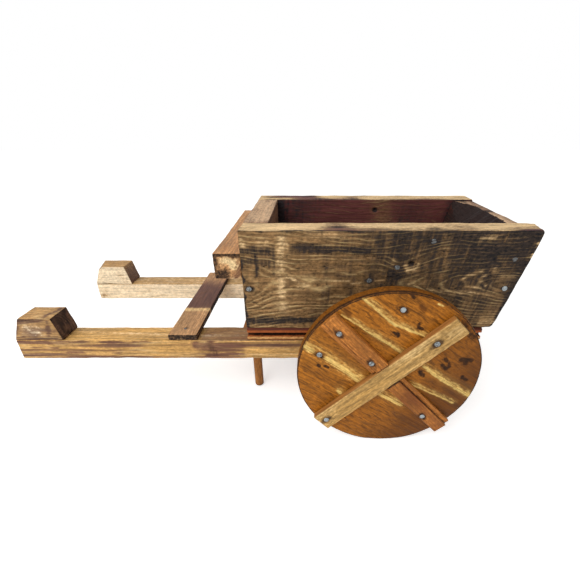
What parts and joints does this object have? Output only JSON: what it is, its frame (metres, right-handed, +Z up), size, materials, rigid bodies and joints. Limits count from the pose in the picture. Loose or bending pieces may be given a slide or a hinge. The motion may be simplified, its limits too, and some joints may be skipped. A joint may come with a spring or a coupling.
{
  "type": "garden cart",
  "caption": "Small wooden garden hand cart: an open tray of thick scorched boards on solid plank wheels, with long shafts, grip blocks and prop legs.",
  "frame": {"origin": "on the ground under the middle of the cart box", "axes": "+X towards the front of the tray, +Y to the left side, +Z up"},
  "size_m": [0.7656, 0.3796, 0.317],
  "materials": {
    "charred_board": "torch-scorched softwood, brushed so pale grain lines stand out of the char, oiled",
    "stained_board": "dark stained and scorched softwood",
    "floor_wood": "stained tongue-and-groove softwood",
    "beam_wood": "oiled softwood with a scorched arris",
    "shaft_wood": "oiled softwood, lightly scorched",
    "grip_wood": "oiled softwood, scorched on the front slope",
    "slat_wood": "thin weathered softwood slat, scorched in the middle",
    "leg_wood": "reddish brown oiled dowel",
    "pale_wood": "pale sapwood batten, oiled",
    "red_wood": "reddish tongue-and-groove offcut, oiled",
    "wheel_wood": "warm brown oiled planks with pale sapwood streaks and a scorched rim",
    "nail_steel": "dull steel nail and screw heads, stained at the rim",
    "axle_steel": "plain zinc-grey steel"
  },
  "bodies": {
    "cart": {"axle_nuts": "axle_steel", "axle_rod": "axle_steel", "axle_washers": "axle_steel", "beam_screws": "nail_steel", "cross_slat": "slat_wood", "floor_nails": "nail_steel", "front_end_board": "stained_board", "grip_screws": "nail_steel", "left_axle_spacer": "axle_steel", "left_floor_board": "floor_wood", "left_grip": "grip_wood", "left_leg": "leg_wood", "left_shaft": "shaft_wood", "left_side_board": "charred_board", "leg_rail": "leg_wood", "middle_floor_board": "floor_wood", "old_nails": "nail_steel", "rear_beam": "beam_wood", "rear_end_board": "stained_board", "right_axle_spacer": "axle_steel", "right_floor_board": "floor_wood", "right_grip": "grip_wood", "right_leg": "leg_wood", "right_shaft": "shaft_wood", "right_side_board": "charred_board", "shaft_screws": "nail_steel", "slat_nails": "nail_steel", "tray_nails": "nail_steel"},
    "right_wheel": {"right_wheel_batten": "pale_wood", "right_wheel_hub": "wheel_wood", "right_wheel_hub_screws": "nail_steel", "right_wheel_lower_brace": "red_wood", "right_wheel_lower_cleat": "wheel_wood", "right_wheel_lower_plank": "wheel_wood", "right_wheel_middle_plank": "wheel_wood", "right_wheel_nails": "nail_steel", "right_wheel_upper_brace": "red_wood", "right_wheel_upper_cleat": "wheel_wood", "right_wheel_upper_plank": "wheel_wood"},
    "left_wheel": {"left_wheel_batten": "pale_wood", "left_wheel_hub": "wheel_wood", "left_wheel_hub_screws": "nail_steel", "left_wheel_lower_brace": "red_wood", "left_wheel_lower_cleat": "wheel_wood", "left_wheel_lower_plank": "wheel_wood", "left_wheel_middle_plank": "wheel_wood", "left_wheel_nails": "nail_steel", "left_wheel_upper_brace": "red_wood", "left_wheel_upper_cleat": "wheel_wood", "left_wheel_upper_plank": "wheel_wood"}
  },
  "joints": [
    {"name": "right_wheel_spin", "type": "hinge", "parent": "cart", "child": "right_wheel", "pos_m": [0.17571, -0.169, 0.128], "axis": [0, 1, 0], "continuous": true},
    {"name": "left_wheel_spin", "type": "hinge", "parent": "cart", "child": "left_wheel", "pos_m": [0.17571, 0.169, 0.128], "axis": [0, 1, 0], "continuous": true}
  ]
}
